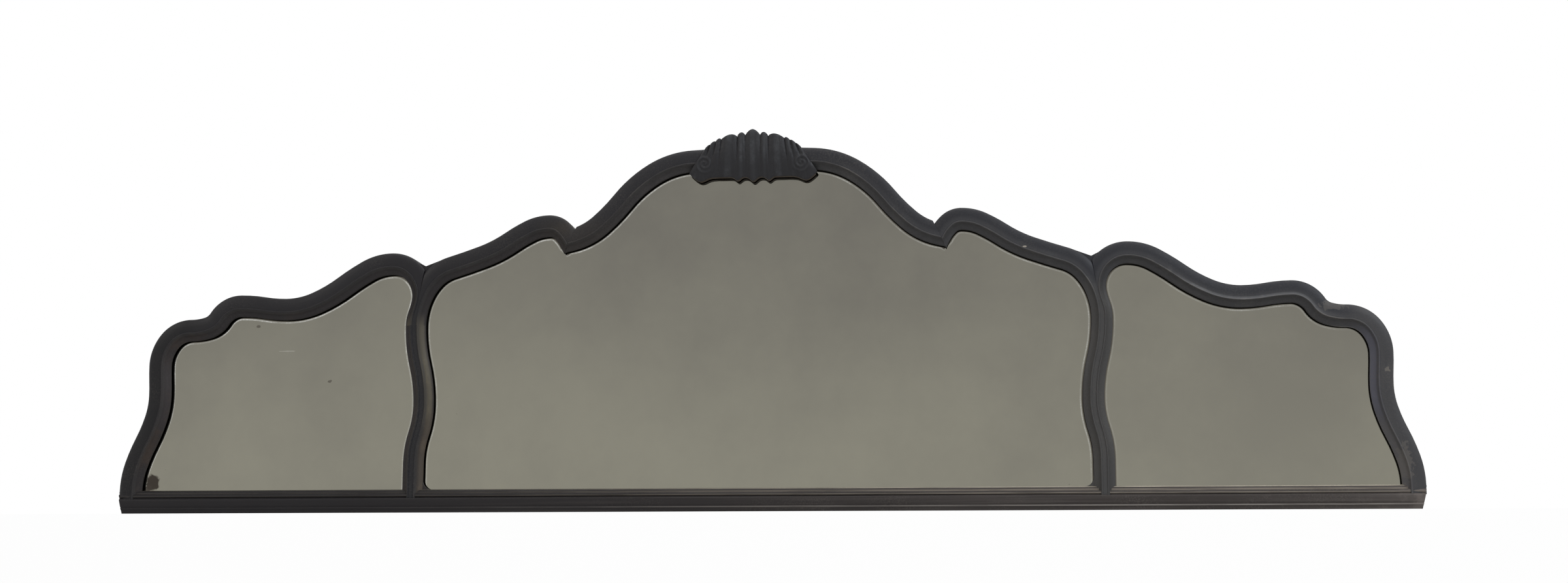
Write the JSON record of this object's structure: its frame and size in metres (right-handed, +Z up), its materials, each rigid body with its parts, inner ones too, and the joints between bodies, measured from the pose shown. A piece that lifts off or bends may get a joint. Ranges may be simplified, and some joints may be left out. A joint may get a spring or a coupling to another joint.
{
  "type": "overmantel mirror",
  "caption": "Wide, low overmantel mirror with shaped plates in a serpentine moulded dark timber frame, a stepped base rail, a carved shell crest and swinging D-ring hangers on the back",
  "frame": {"origin": "middle of the base rail's underside, at mid-depth of the frame", "axes": "X along the mantel shelf, Y from the front to the wall, Z up"},
  "size_m": [1.256, 0.0328, 0.3734],
  "materials": {
    "timber": "dark stained and polished, worn to brown on the slopes beside the mirrors",
    "mirror": "aged silvering with fine specks",
    "backboard": "unfinished softwood boards, darkened with age",
    "softwood": "unfinished softwood",
    "pin_steel": "dull steel",
    "hanger_brass": "tarnished brass"
  },
  "bodies": {
    "frame": {"base_rail": "timber", "left_end_stile": "timber", "right_end_stile": "timber", "left_wing_rail": "timber", "right_wing_rail": "timber", "left_mullion": "timber", "right_mullion": "timber", "left_shoulder_rail": "timber", "right_shoulder_rail": "timber", "arch_rail": "timber", "crest_carving": "timber", "left_mirror_plate": "mirror", "centre_mirror_plate": "mirror", "right_mirror_plate": "mirror", "left_backboard": "backboard", "centre_backboard": "backboard", "right_backboard": "backboard", "left_glass_blocks": "softwood", "centre_glass_blocks": "softwood", "right_glass_blocks": "softwood", "left_board_pins": "pin_steel", "centre_board_pins": "pin_steel", "right_board_pins": "pin_steel", "left_joint_dowels": "softwood", "right_joint_dowels": "softwood", "crest_dowels": "softwood", "left_hanger_strap": "hanger_brass", "right_hanger_strap": "hanger_brass", "left_hanger_screws": "pin_steel", "right_hanger_screws": "pin_steel"},
    "left_ring": {"left_hanger_ring": "hanger_brass"},
    "right_ring": {"right_hanger_ring": "hanger_brass"}
  },
  "joints": [
    {"name": "left_ring_swing", "type": "hinge", "parent": "frame", "child": "left_ring", "pos_m": [-0.329, 0.0136, 0.2386], "axis": [1, 0, 0], "range_deg": [0, 180]},
    {"name": "right_ring_swing", "type": "hinge", "parent": "frame", "child": "right_ring", "pos_m": [0.329, 0.0136, 0.2386], "axis": [1, 0, 0], "range_deg": [0, 180]}
  ]
}
